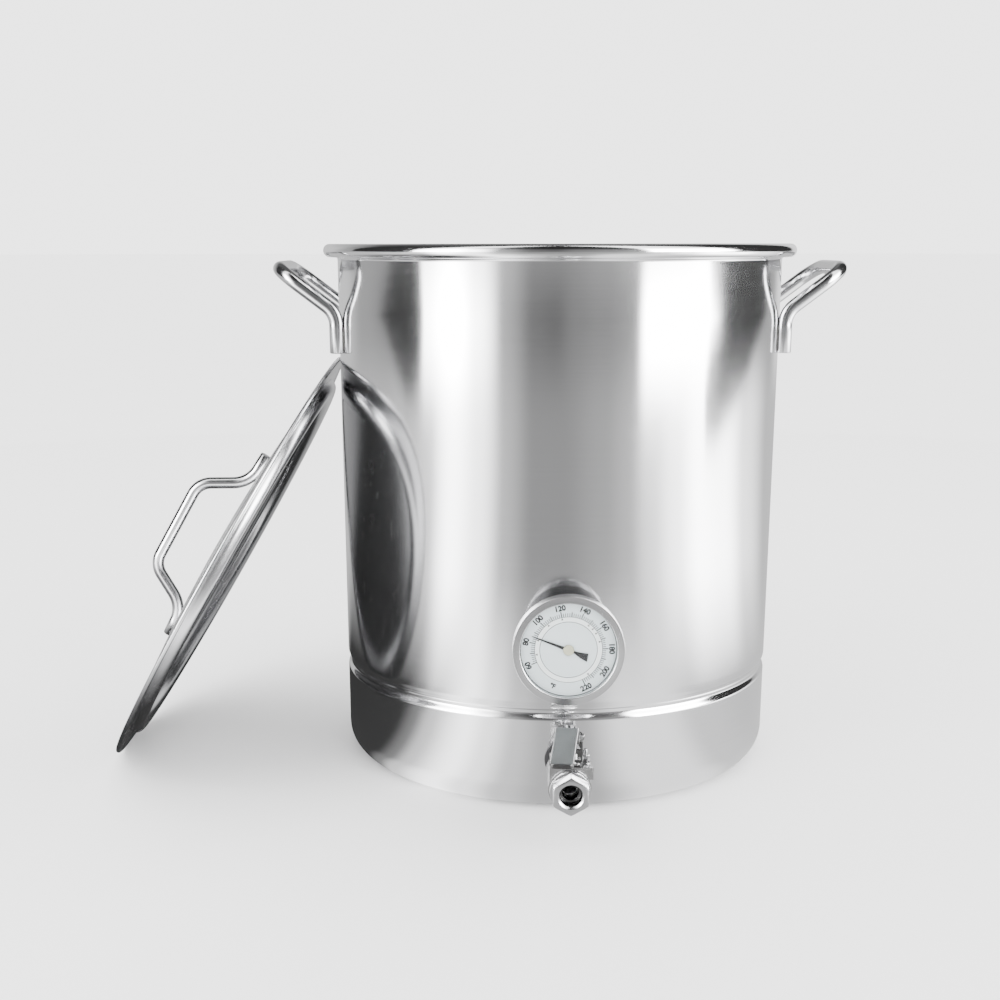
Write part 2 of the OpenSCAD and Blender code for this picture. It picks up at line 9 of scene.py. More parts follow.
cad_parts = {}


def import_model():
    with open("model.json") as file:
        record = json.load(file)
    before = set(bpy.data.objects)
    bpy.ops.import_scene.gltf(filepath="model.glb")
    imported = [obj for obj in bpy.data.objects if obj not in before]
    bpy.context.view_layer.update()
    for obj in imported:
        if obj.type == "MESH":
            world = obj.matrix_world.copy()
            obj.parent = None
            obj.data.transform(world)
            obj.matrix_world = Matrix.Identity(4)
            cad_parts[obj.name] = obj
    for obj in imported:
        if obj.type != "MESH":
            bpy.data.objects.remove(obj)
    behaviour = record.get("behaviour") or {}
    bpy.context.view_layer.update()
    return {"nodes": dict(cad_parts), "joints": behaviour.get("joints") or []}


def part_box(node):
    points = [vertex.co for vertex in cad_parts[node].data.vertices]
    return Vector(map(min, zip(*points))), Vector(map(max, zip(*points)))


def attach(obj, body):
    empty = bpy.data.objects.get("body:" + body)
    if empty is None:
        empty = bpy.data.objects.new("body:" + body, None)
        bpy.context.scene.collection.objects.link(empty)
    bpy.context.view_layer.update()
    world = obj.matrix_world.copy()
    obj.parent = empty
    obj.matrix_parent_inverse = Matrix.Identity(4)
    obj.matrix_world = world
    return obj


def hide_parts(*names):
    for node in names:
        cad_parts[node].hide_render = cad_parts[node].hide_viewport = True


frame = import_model()

MM = 0.001

# ---------------------------------------------------------------- places from the frame

body_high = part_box("kettle_body")[1]
bezel_low, bezel_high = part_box("thermometer_bezel")
dial_low, dial_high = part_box("thermometer_dial")
handle_low, handle_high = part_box("right_handle")
outlet_low, outlet_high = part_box("valve_end_cap")
joints = {joint["name"]: joint for joint in frame["joints"]}

# The vessel: its sheet, rolled rim, bottom corner and pressed groove
SHEET = 1.2 * MM
RIM_OUT = 11 * MM
RIM_ROLL = 5 * MM
RIM_FILLET = 2 * MM
WALL_R = body_high.x - RIM_OUT
TOP_Z = body_high.z
CORNER_R = 23 * MM
GROOVE_Z = 79.5 * MM
GROOVE_DEPTH = 2.2 * MM
GROOVE_HALF = 7.5 * MM
GROOVE_CLEAR = 12 * MM
GROOVE_FLATTEN = 0.25

# The side handles: a leg up the wall, a knee, and a loop out along a slope
HANDLE_BAR_R = 5.5 * MM
HANDLE_SINK = 0.5 * MM
HANDLE_FOOT_Z = handle_low.z
HANDLE_HALF = handle_high.y - HANDLE_BAR_R
HANDLE_REACH = handle_high.x - HANDLE_BAR_R
HANDLE_SLOPE = math.radians(37)
HANDLE_KNEE_Z = 361.5 * MM
HANDLE_BEND_R = 18 * MM
LOOP_CORNER_R = 20 * MM
LEG_R = WALL_R + HANDLE_BAR_R - HANDLE_SINK
LEG_X = math.sqrt(LEG_R ** 2 - HANDLE_HALF ** 2)

# The lid: its lean, sheet, dome, channel, step, brim and hem
LID_R = 188 * MM
LID_LEAN = math.radians(59.5)
LID_T = 1 * MM
LID_DOME_H = 12 * MM
LID_STEP_H = 9 * MM
LID_STEP_X = 168 * MM
LID_CHANNEL_X = 149 * MM
HEM_R = 1.6 * MM

# The lid's handle: its bar, the height of its grip, its bends, and how deep its feet sink into the dome
LID_BAR_R = 4.75 * MM
LID_GRIP_H = 51 * MM
LID_FOOT_END = 88 * MM
LID_FOOT_BEND = 61 * MM
LID_GRIP_HALF = 39.5 * MM
LID_FOOT_BEND_R = 25 * MM
LID_GRIP_BEND_R = 18 * MM
LID_FOOT_SINK = 0.4 * MM

DIAL_CENTRE = Vector((0, dial_low.y, (dial_low.z + dial_high.z) / 2))
BEZEL_R = (bezel_high.x - bezel_low.x) / 2
LEVER_AXIS = Vector(joints["valve_turn"]["pos_m"])
OUTLET_CENTRE = (outlet_low + outlet_high) / 2
OUTLET_R = 7.5 * MM


# ---------------------------------------------------------------- mesh helpers

def link(obj):
    """Puts an object into the scene."""
    bpy.context.scene.collection.objects.link(obj)
    return obj


def new_mesh(name, verts, faces, smooth=True):
    """A linked mesh object with outward normals."""
    data = bpy.data.meshes.new(name)
    data.from_pydata([tuple(v) for v in verts], [], faces)
    obj = link(bpy.data.objects.new(name, data))
    bm = bmesh.new()
    bm.from_mesh(data)
    bmesh.ops.remove_doubles(bm, verts=bm.verts, dist=1e-7)
    bmesh.ops.recalc_face_normals(bm, faces=bm.faces)
    bm.to_mesh(data)
    bm.free()
    for poly in data.polygons:
        poly.use_smooth = smooth
    return obj


def crease(obj, degrees):
    """Smooth shading with sharp edges above an angle."""
    for poly in obj.data.polygons:
        poly.use_smooth = True
    obj.data.set_sharp_from_angle(angle=math.radians(degrees))


def put(obj, body, material, replaced=()):
    """Gives a new piece its material, its body and the CAD nodes it stands for."""
    obj.data.materials.clear()
    obj.data.materials.append(material)
    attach(obj, body)
    if replaced:
        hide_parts(*replaced)
    return obj


def arc(cx, cz, r, start, end, steps):
    """Points on an arc in a half section, angles in degrees."""
    out = []
    for i in range(steps + 1):
        a = math.radians(start + (end - start) * i / steps)
        out.append((cx + r * math.cos(a), cz + r * math.sin(a)))
    return out


def lathe(name, profile, segments, matrix=None, closed=True):
    """Turns a half section round the Z axis. A point on the axis becomes a single vertex."""
    verts, rings = [], []
    for x, z in profile:
        if abs(x) < 1e-7:
            rings.append([len(verts)] * segments)
            verts.append(Vector((0, 0, z)))
            continue
        ring = []
        for i in range(segments):
            a = 2 * math.pi * i / segments
            ring.append(len(verts))
            verts.append(Vector((x * math.cos(a), x * math.sin(a), z)))
        rings.append(ring)
    faces = []
    pairs = list(zip(rings, rings[1:]))
    if closed:
        pairs.append((rings[-1], rings[0]))
    for lower, upper in pairs:
        for i in range(segments):
            j = (i + 1) % segments
            face = [lower[i], lower[j], upper[j], upper[i]]
            face = [v for k, v in enumerate(face) if v not in face[:k]]
            if len(face) > 2:
                faces.append(face)
    if matrix is not None:
        verts = [matrix @ v for v in verts]
    return new_mesh(name, verts, faces)


def bend_path(points, radii, step=1.5 * MM):
    """Samples a route of straight stretches joined by true arcs."""
    out = [points[0]]
    for i in range(1, len(points) - 1):
        before = (points[i] - points[i - 1]).normalized()
        after = (points[i + 1] - points[i]).normalized()
        turn = before.angle(after)
        r = radii[i - 1]
        tangent = r * math.tan(turn / 2)
        start = points[i] - before * tangent
        inward = (after - before * before.dot(after)).normalized()
        centre = start + inward * r
        count = max(4, int(r * turn / step))
        for k in range(count + 1):
            a = turn * k / count
            out.append(centre - inward * (r * math.cos(a)) + before * (r * math.sin(a)))
    out.append(points[-1])
    return out


def loft(name, rings, matrix):
    """A skin over rings of points, one after the other, with a flat face at each end."""
    sides = len(rings[0])
    verts = [v if matrix is None else matrix @ v for ring in rings for v in ring]
    faces = []
    for start in range(0, len(verts) - sides, sides):
        for k in range(sides):
            j = (k + 1) % sides
            faces.append([start + k, start + j, start + sides + j, start + sides + k])
    faces.append(list(range(sides))[::-1])
    faces.append(list(range(len(verts) - sides, len(verts))))
    return new_mesh(name, verts, faces)


def tube(name, path, radius, sides=28, matrix=None, radius_at=None):
    """A round bar along a path, its flat ends chamfered. Its radius can vary along the path."""
    last = len(path) - 1
    chamfer = 0.6 * MM
    tangents = []
    for i in range(len(path)):
        tangents.append((path[min(i + 1, last)] - path[max(i - 1, 0)]).normalized())
    stations = [(path[0], tangents[0], radius - chamfer)]
    for i, point in enumerate(path):
        shift = Vector((0, 0, 0))
        if i == 0:
            shift = tangents[0] * chamfer
        if i == last:
            shift = -tangents[-1] * chamfer
        r = radius if radius_at is None else radius_at(i / last)
        stations.append((point + shift, tangents[i], r))
    stations.append((path[-1], tangents[-1], radius - chamfer))
    side = tangents[0].orthogonal().normalized()
    rings = []
    for centre, along, r in stations:
        side = (side - along * side.dot(along)).normalized()
        other = along.cross(side)
        ring = []
        for k in range(sides):
            a = 2 * math.pi * k / sides
            ring.append(centre + side * (r * math.cos(a)) + other * (r * math.sin(a)))
        rings.append(ring)
    obj = loft(name, rings, matrix)
    crease(obj, degrees=50)
    return obj


def prism(name, outline, thickness, matrix):
    """A flat outline given a thickness and placed."""
    count = len(outline)
    verts = [Vector((x, y, z)) for z in (0, thickness) for x, y in outline]
    faces = [list(range(count))[::-1], list(range(count, 2 * count))]
    for k in range(count):
        j = (k + 1) % count
        faces.append([k, j, count + j, count + k])
    return new_mesh(name, [matrix @ v for v in verts], faces, smooth=False)


def plate(name, outlines, thickness, bevel, matrix):
    """A flat plate with holes, its edges bevelled, drawn in its own XY plane."""
    curve = bpy.data.curves.new(name, "CURVE")
    curve.dimensions = "2D"
    curve.fill_mode = "BOTH"
    curve.extrude = thickness / 2 - bevel
    curve.bevel_depth = bevel
    curve.bevel_resolution = 2
    curve.offset = -bevel
    for outline in outlines:
        spline = curve.splines.new("POLY")
        spline.points.add(len(outline) - 1)
        for point, (x, y) in zip(spline.points, outline):
            point.co = (x, y, 0, 1)
        spline.use_cyclic_u = True
    source = link(bpy.data.objects.new(name + ".curve", curve))
    obj = from_evaluated(name, source, matrix)
    crease(obj, degrees=35)
    return obj


def from_evaluated(name, source, matrix):
    """A mesh object made from a curve or text object, which is then removed."""
    bpy.context.view_layer.update()
    graph = bpy.context.evaluated_depsgraph_get()
    data = bpy.data.meshes.new_from_object(source.evaluated_get(graph))
    data.name = name
    data.transform(matrix)
    bpy.data.objects.remove(source)
    return link(bpy.data.objects.new(name, data))


def join(name, objects):
    """One object from several meshes, which are removed."""
    bm = bmesh.new()
    for obj in objects:
        bm.from_mesh(obj.data)
        bpy.data.objects.remove(obj)
    data = bpy.data.meshes.new(name)
    bm.to_mesh(data)
    bm.free()
    return link(bpy.data.objects.new(name, data))


# ---------------------------------------------------------------- materials

# Parts of a noise's range: where most of it lies, nearly all of it, and its upper part
NOISE_MIDDLE = (0.3, 0.7)
NOISE_WIDE = (0.2, 0.8)
NOISE_UPPER = (0.45, 0.75)

# Frequencies per metre of the steel's patches, marks and slow waves, and of the grain of paint and rubber
PATCHES = 14.0
MARKS = 90.0
WAVES = 9.0
MATT_GRAIN = 220.0

FINE_RELIEF = 0.0002
SLOW_RELIEF = 0.002
# Painted shade: the darker colour inside the outlet's threaded bore, standing in for the threads' shade
PAINTED_BORE_SHADE = (0.14, 0.14, 0.14)


def node_material(name):
    """A new node material, its tree and its shader."""
    material = bpy.data.materials.new(name)
    material.use_nodes = True
    tree = material.node_tree
    return material, tree, tree.nodes["Principled BSDF"]


def object_place(tree):
    """The shaded point in the object's own coordinates, in metres."""
    return tree.nodes.new("ShaderNodeTexCoord").outputs["Object"]


def feed(tree, socket, value):
    """Links an input to another node's output, or sets it to a plain value."""
    if isinstance(value, bpy.types.NodeSocket):
        tree.links.new(value, socket)
    else:
        socket.default_value = value


def maths(tree, operation, first, second):
    """A math node on two sockets or numbers."""
    node = tree.nodes.new("ShaderNodeMath")
    node.operation = operation
    feed(tree, node.inputs[0], first)
    feed(tree, node.inputs[1], second)
    return node.outputs["Value"]


def vector_maths(tree, operation, first, second):
    """A vector node on two sockets or vectors."""
    node = tree.nodes.new("ShaderNodeVectorMath")
    node.operation = operation
    feed(tree, node.inputs[0], first)
    feed(tree, node.inputs[1], second)
    return node.outputs["Vector"]


def scaled(tree, vector, scale):
    """The vector stretched by a scale for each axis."""
    return vector_maths(tree, "MULTIPLY", vector, scale)


def length_of(tree, vector):
    node = tree.nodes.new("ShaderNodeVectorMath")
    node.operation = "LENGTH"
    tree.links.new(vector, node.inputs[0])
    return node.outputs["Value"]


def noise_of(tree, vector, scale, detail):
    node = tree.nodes.new("ShaderNodeTexNoise")
    node.inputs["Scale"].default_value = scale
    node.inputs["Detail"].default_value = detail
    tree.links.new(vector, node.inputs["Vector"])
    return node.outputs["Fac"]


def remap(tree, value, source, target):
    """A value carried from one range to another, and held at the ends."""
    node = tree.nodes.new("ShaderNodeMapRange")
    node.inputs["From Min"].default_value = source[0]
    node.inputs["From Max"].default_value = source[1]
    node.inputs["To Min"].default_value = target[0]
    node.inputs["To Max"].default_value = target[1]
    tree.links.new(value, node.inputs["Value"])
    return node.outputs["Result"]


def mixed(tree, factor, first, second):
    """A mix of two colours, each a socket or three numbers."""
    node = tree.nodes.new("ShaderNodeMix")
    node.data_type = "RGBA"
    for name, colour in (("A", first), ("B", second)):
        feed(tree, node.inputs[name], (*colour, 1) if isinstance(colour, tuple) else colour)
    tree.links.new(factor, node.inputs["Factor"])
    return node.outputs["Result"]


def mottled(tree, factor, colour, mottle):
    """A colour that varies between a darker and a lighter shade."""
    dark = tuple(c * (1 - mottle) for c in colour)
    light = tuple(min(1, c * (1 + mottle)) for c in colour)
    return mixed(tree, factor, dark, light)


def bump_of(tree, height, strength, distance, normal=None):
    """The normal of a bump, which can lie on top of another one."""
    node = tree.nodes.new("ShaderNodeBump")
    node.inputs["Strength"].default_value = strength
    node.inputs["Distance"].default_value = distance
    tree.links.new(height, node.inputs["Height"])
    if normal is not None:
        tree.links.new(normal, node.inputs["Normal"])
    return node.outputs["Normal"]


def brush(tree, shader, amount):
    """Stretches the reflections across marks that run round the Z axis."""
    around = tree.nodes.new("ShaderNodeTangent")
    around.direction_type = "RADIAL"
    around.axis = "Z"
    tree.links.new(around.outputs["Tangent"], shader.inputs["Tangent"])
    shader.inputs["Anisotropic"].default_value = amount
    shader.inputs["Anisotropic Rotation"].default_value = 0.25


def steel(name, colour, roughness, grain, bump=0.02, wave=0.0, mottle=0.04, brushed=0.0):
    """Stainless steel: fine directional grain, uneven polish and faint handling marks."""
    material, tree, shader = node_material(name)
    place = object_place(tree)
    fine = noise_of(tree, scaled(tree, place, grain), 1.0, 4.0)
    patches = noise_of(tree, place, PATCHES, 3.0)
    marks = noise_of(tree, place, MARKS, 5.0)
    halves = [remap(tree, noise, NOISE_MIDDLE, (0, 0.5)) for noise in (fine, patches)]
    shade = maths(tree, "ADD", *halves)
    tree.links.new(mottled(tree, shade, colour, mottle), shader.inputs["Base Color"])
    polish = remap(tree, fine, NOISE_WIDE, (roughness * 0.93, roughness * 1.07))
    marked = remap(tree, marks, NOISE_UPPER, (0, roughness * 0.1))
    tree.links.new(maths(tree, "ADD", polish, marked), shader.inputs["Roughness"])
    shader.inputs["Metallic"].default_value = 1.0
    if brushed:
        brush(tree, shader, brushed)
    normal = bump_of(tree, fine, bump, FINE_RELIEF)
    if wave:
        slow = noise_of(tree, scaled(tree, place, (1, 1, 0.35)), WAVES, 1.0)
        normal = bump_of(tree, slow, wave, SLOW_RELIEF, normal)
    tree.links.new(normal, shader.inputs["Normal"])
    return material


def matt(name, colour, roughness, metallic=0.0, mottle=0.06, bump=0.05):
    """Paint, rubber or plastic with a faint mottle and fine bump."""
    material, tree, shader = node_material(name)
    grain = noise_of(tree, object_place(tree), MATT_GRAIN, 4.0)
    uneven = remap(tree, grain, NOISE_MIDDLE, (roughness * 0.9, roughness * 1.1))
    tree.links.new(mottled(tree, grain, colour, mottle), shader.inputs["Base Color"])
    tree.links.new(uneven, shader.inputs["Roughness"])
    shader.inputs["Metallic"].default_value = metallic
    tree.links.new(bump_of(tree, grain, bump, FINE_RELIEF), shader.inputs["Normal"])
    return material


def bored_steel(name, colour, roughness):
    """Machined steel with painted shade inside the outlet's threaded bore, where its colour turns darker."""
    material = steel(name, colour, roughness, (500, 500, 500), bump=0.06)
    tree = material.node_tree
    base_input = tree.nodes["Principled BSDF"].inputs["Base Color"]
    outside = base_input.links[0].from_socket
    from_centre = vector_maths(tree, "SUBTRACT", object_place(tree), (0, 0, OUTLET_CENTRE.z))
    radius = length_of(tree, scaled(tree, from_centre, (1, 0, 1)))
    # The painted shade fills the bore and fades out within half a millimetre past the outlet's radius
    inside = remap(tree, radius, (OUTLET_R + 0.1 * MM, OUTLET_R + 0.5 * MM), (1, 0))
    tree.links.new(mixed(tree, inside, outside, PAINTED_BORE_SHADE), base_input)
    return material


def clear_glass(name):
    """Flat clear glass with the faintest unevenness."""
    material, tree, shader = node_material(name)
    faint = noise_of(tree, object_place(tree), 60.0, 2.0)
    tree.links.new(mixed(tree, faint, (0.97, 0.99, 0.99), (1, 1, 1)), shader.inputs["Base Color"])
    tree.links.new(remap(tree, faint, NOISE_WIDE, (0.0, 0.03)), shader.inputs["Roughness"])
    shader.inputs["Transmission Weight"].default_value = 1.0
    shader.inputs["IOR"].default_value = 1.1
    return material


# Each steel: its colour, its roughness, and its grain's frequency per metre along X, Y and Z
WALL_STEEL = steel(
    "wall_steel", (0.80, 0.80, 0.81), 0.115, (12, 12, 700), bump=0.008, wave=0.02, mottle=0.02, brushed=0.45,
)
BAR_STEEL = steel("bar_steel", (0.62, 0.62, 0.63), 0.15, (300, 300, 300), bump=0.01)
LID_STEEL = steel("lid_steel", (0.52, 0.52, 0.53), 0.25, (300, 300, 300), bump=0.002, mottle=0.02)
BEZEL_STEEL = steel("bezel_steel", (0.80, 0.80, 0.81), 0.22, (600, 600, 600), bump=0.010)
CASE_STEEL = steel("case_steel", (0.34, 0.34, 0.34), 0.16, (500, 500, 500), bump=0.03)
MACHINED_STEEL = steel("machined_steel", (0.46, 0.46, 0.47), 0.18, (700, 80, 700), bump=0.06)
CAST_STEEL = steel("cast_steel", (0.40, 0.40, 0.40), 0.24, (420, 420, 420), bump=0.12, mottle=0.12)
LEVER_STEEL = steel("lever_steel", (0.105, 0.105, 0.105), 0.32, (900, 90, 900), bump=0.10, mottle=0.15)
DULL_STEEL = steel("dull_steel", (0.10, 0.10, 0.10), 0.40, (500, 500, 500), bump=0.05, mottle=0.12)
WELD_STEEL = steel("weld_steel", (0.16, 0.155, 0.15), 0.42, (200, 200, 900), bump=0.25, mottle=0.15)
# Outlet steel: machined steel with a painted shade inside its threaded bore
OUTLET_STEEL = bored_steel("outlet_steel", (0.66, 0.66, 0.67), 0.2)
SILICONE = matt("silicone", (0.03, 0.03, 0.032), 0.55)
PTFE = matt("ptfe", (0.86, 0.86, 0.84), 0.45)
BRASS = matt("brass", (0.70, 0.66, 0.50), 0.35, metallic=1.0)
CAP_PAINT = matt("cap_paint", (0.47, 0.46, 0.33), 0.4, mottle=0.08)
DIAL_PAINT = matt("dial_paint", (0.66, 0.72, 0.74), 0.5, mottle=0.02, bump=0.01)
DIAL_WHITE = matt("dial_white", (0.85, 0.88, 0.88), 0.5, mottle=0.02, bump=0.01)
BLACK_PAINT = matt("black_paint", (0.006, 0.006, 0.007), 0.6)
GLASS = clear_glass("lens_glass")


# ---------------------------------------------------------------- kettle

def wall_at_groove(r):
    """One face of the wall across the pressed groove, which has soft shoulders and a flattened floor."""
    out = []
    steps = 28
    for i in range(steps + 1):
        t = -1 + 2 * i / steps
        depth = GROOVE_DEPTH * (math.cos(math.pi * t) + 1) / 2
        depth *= 1 - GROOVE_FLATTEN * math.cos(math.pi * t) ** 4
        out.append((r - depth / (1 - GROOVE_FLATTEN), GROOVE_Z + GROOVE_HALF * t))
    return out


def kettle_shell():
    """The pressed vessel: outer face up, over the rolled rim, and down the inner face."""
    inner_r = WALL_R - SHEET
    base_r = WALL_R - CORNER_R
    roll_z = TOP_Z - RIM_ROLL
    wall_low = GROOVE_Z + GROOVE_CLEAR
    wall_high = roll_z - RIM_ROLL - RIM_FILLET
    wall_steps = 8
    profile = [(0, 0), (base_r * 0.5, 0)]
    profile += arc(base_r, CORNER_R, CORNER_R, -90, 0, 18)
    profile += [(WALL_R, GROOVE_Z - GROOVE_CLEAR)]
    profile += wall_at_groove(WALL_R)
    for i in range(wall_steps + 1):
        profile.append((WALL_R, wall_low + (wall_high - wall_low) * i / wall_steps))
    profile += arc(WALL_R + RIM_FILLET, wall_high, RIM_FILLET, 180, 90, 6)[1:]
    profile += arc(WALL_R + RIM_OUT - RIM_ROLL, roll_z, RIM_ROLL, -90, 90, 16)
    profile += arc(inner_r + RIM_ROLL, roll_z, RIM_ROLL, 90, 180, 12)
    profile += [(inner_r, GROOVE_Z + 60 * MM), (inner_r, wall_low)]
    profile += wall_at_groove(inner_r)[::-1]
    profile += [(inner_r, GROOVE_Z - GROOVE_CLEAR)]
    profile += arc(base_r, CORNER_R, CORNER_R - SHEET, 0, -90, 18)
    profile += [(base_r * 0.5, SHEET), (0, SHEET)]
    shell = lathe("kettle_shell", profile, segments=320, closed=False)
    crease(shell, degrees=60)
    return put(shell, "kettle", WALL_STEEL, ["kettle_body"])


def side_handle(name, side, node):
    """Round bar: leg up the wall, out along the slope, across and back."""
    tip_z = HANDLE_KNEE_Z + (HANDLE_REACH - LEG_X) * math.tan(HANDLE_SLOPE)
    half = [(LEG_X, HANDLE_FOOT_Z), (LEG_X, HANDLE_KNEE_Z), (HANDLE_REACH, tip_z)]
    route = [Vector((side * x, -HANDLE_HALF, z)) for x, z in half]
    route += [Vector((side * x, HANDLE_HALF, z)) for x, z in half[::-1]]
    path = bend_path(route, [HANDLE_BEND_R, LOOP_CORNER_R, LOOP_CORNER_R, HANDLE_BEND_R])
    bar = tube(name, path, HANDLE_BAR_R)
    return put(bar, "kettle", BAR_STEEL, [node])


# Weld beads: their distance from the bar's middle, and how much and how fast their thickness ripples
WELD_SPREAD = 2.9 * MM
WELD_RIPPLE = 0.14
WELD_RIPPLE_RATE = 70


def bead(start, end, radius, matrix=None):
    """A weld bead with rippled thickness between two points."""
    steps = 60
    path = [start.lerp(end, i / steps) for i in range(steps + 1)]

    def ripple(t):
        ends = math.sin(math.pi * min(max(t, 0.02), 0.98)) ** 0.35
        return radius * ends * (1 - WELD_RIPPLE + WELD_RIPPLE * math.sin(t * WELD_RIPPLE_RATE))

    return tube("bead", path, radius, sides=14, matrix=matrix, radius_at=ripple)


def side_handle_welds():
    """Beads along both sides of each leg, where it lies on the wall."""
    beads = []
    bead_r = WALL_R + 0.4 * MM
    low_z = HANDLE_FOOT_Z + 1 * MM
    high_z = HANDLE_KNEE_Z - 9 * MM
    for side in (-1, 1):
        for end in (-1, 1):
            leg_angle = math.atan2(end * HANDLE_HALF, side * LEG_X)
            for edge in (-1, 1):
                a = leg_angle + edge * WELD_SPREAD / WALL_R
                x = bead_r * math.cos(a)
                y = bead_r * math.sin(a)
                beads.append(bead(Vector((x, y, low_z)), Vector((x, y, high_z)), 0.8 * MM))
    welds = join("side_handle_welds", beads)
    crease(welds, degrees=50)
    return put(welds, "kettle", WELD_STEEL)


# ---------------------------------------------------------------- lid

def lid_matrix():
    """The lid's own frame: its centre on the brim, outer face along +Z, up the slope along +X."""
    pivot = Vector(joints["lid_tip"]["pos_m"])
    up_slope = Vector((math.cos(LID_LEAN), 0, math.sin(LID_LEAN)))
    outward = Vector((-math.sin(LID_LEAN), 0, math.cos(LID_LEAN)))
    centre = pivot + up_slope * (LID_R - HEM_R) + outward * (LID_T / 2)
    return Matrix((
        (up_slope.x, 0, outward.x, centre.x),
        (up_slope.y, 1, outward.y, centre.y),
        (up_slope.z, 0, outward.z, centre.z),
        (0, 0, 0, 1),
    ))


LID = lid_matrix()
STEP_ROUND = 7.5 * MM
STEP_EDGE_R = 0.6 * MM
CHANNEL_Z = STEP_ROUND - LID_STEP_H
SHOULDER_R = 5 * MM
SHOULDER_LIFT = 0.4 * MM
DOME_EDGE_X = LID_CHANNEL_X + LID_T - SHOULDER_R
DOME_EDGE_Z = CHANNEL_Z + SHOULDER_R + SHOULDER_LIFT
DOME_RISE = LID_DOME_H - DOME_EDGE_Z
DOME_R = (DOME_EDGE_X ** 2 + DOME_RISE ** 2) / (2 * DOME_RISE)


def dome_z(x):
    """Height of the dome's outer face at a distance from the lid's centre."""
    return LID_DOME_H - DOME_R + math.sqrt(DOME_R ** 2 - x * x)


def lid_face(inset):
    """Half section of one face of the lid, from the centre to the brim."""
    out = []
    count = 16
    for i in range(count + 1):
        x = DOME_EDGE_X * i / count
        out.append((x, dome_z(x) - inset))
    slope = math.degrees(math.asin(DOME_EDGE_X / DOME_R))
    out += arc(DOME_EDGE_X, CHANNEL_Z + SHOULDER_LIFT, SHOULDER_R - inset, 90 - slope, 0, 8)
    trough = STEP_ROUND - LID_T + inset
    out += arc(LID_CHANNEL_X + STEP_ROUND, CHANNEL_Z, trough, 180, 270, 10)
    out += arc(LID_STEP_X - STEP_ROUND, CHANNEL_Z, trough, 270, 360, 10)
    edge_x = LID_STEP_X - LID_T + inset + STEP_EDGE_R
    out += arc(edge_x, -inset - STEP_EDGE_R, STEP_EDGE_R, 180, 90, 4)
    out.append((LID_R - HEM_R - 4 * MM, -inset))
    return out


def lid_panel():
    """Domed sheet with its channel, step, brim and hemmed edge."""
    hem = arc(LID_R - HEM_R, -LID_T / 2, HEM_R, 150, -150, 18)
    profile = lid_face(0) + hem + lid_face(LID_T)[::-1]
    panel = lathe("lid_sheet", profile, segments=320, matrix=LID, closed=False)
    crease(panel, degrees=60)
    return put(panel, "lid", LID_STEEL, ["lid_panel"])


def lid_handle():
    """Bar with two feet on the dome and a raised grip."""
    half = [(x, dome_z(x) + LID_BAR_R - LID_FOOT_SINK) for x in (LID_FOOT_END, LID_FOOT_BEND)]
    half.append((LID_GRIP_HALF, LID_GRIP_H))
    route = [Vector((x, 0, z)) for x, z in half] + [Vector((-x, 0, z)) for x, z in half[::-1]]
    path = bend_path(route, [LID_FOOT_BEND_R, LID_GRIP_BEND_R, LID_GRIP_BEND_R, LID_FOOT_BEND_R])
    bar = tube("lid_grip", path, LID_BAR_R, matrix=LID)
    return put(bar, "lid", BAR_STEEL, ["lid_handle"])


def lid_handle_welds():
    """Beads along both sides of each foot of the lid's handle."""
    beads = []
    for side in (-1, 1):
        for edge in (-1, 1):
            ends = []
            for x in (LID_FOOT_BEND + 8 * MM, LID_FOOT_END - 1.5 * MM):
                ends.append(Vector((side * x, edge * WELD_SPREAD, dome_z(x) + 0.3 * MM)))
            beads.append(bead(*ends, 1.0 * MM, LID))
    welds = join("lid_handle_welds", beads)
    crease(welds, degrees=50)
    return put(welds, "lid", WELD_STEEL)


# ---------------------------------------------------------------- thermometer

# Places a drawing on the dial's face: X right, Y up, Z towards the viewer
DIAL = Matrix.Translation(DIAL_CENTRE) @ Matrix.Rotation(math.pi / 2, 4, "X")

# The scale in degrees Fahrenheit, its first angle and the turn for each degree, clockwise
SCALE_START = 60
SCALE_END = 220
SCALE_START_ANGLE = 202.1
SCALE_STEP = 33.4 / 20
MARKED_DEGREES = (68, 84, 104, 120, 150, 156, 162, 172, 212)

# Ticks: the degrees between them, their outer end and their width. They share their inner end
TICKS = ((20, 28.4 * MM, 0.75 * MM), (10, 27.6 * MM, 0.75 * MM), (2, 26.8 * MM, 0.5 * MM))
TICK_INNER = 24.2 * MM

# Thin circles: their radius and half width in millimetres. The outermost, at 34.3 mm, is not print but
# painted shade, the dark line under the bezel's window edge
CIRCLES_AND_EDGE_SHADE = ((20.5, 0.2), (24.1, 0.16), (34.3, 0.3))

PRINT_T = 0.05 * MM
FIGURE_SIZE = 5.4 * MM
FIGURE_R = 30.7 * MM
UNIT_SIZE = 4.6 * MM
UNIT_R = 29.0 * MM
UNIT_ANGLE = math.radians(-112.6)
FIGURE_T = 0.03 * MM
FIGURE_BOLDNESS = 0.27 * MM
FLIPPED_BELOW = -0.2


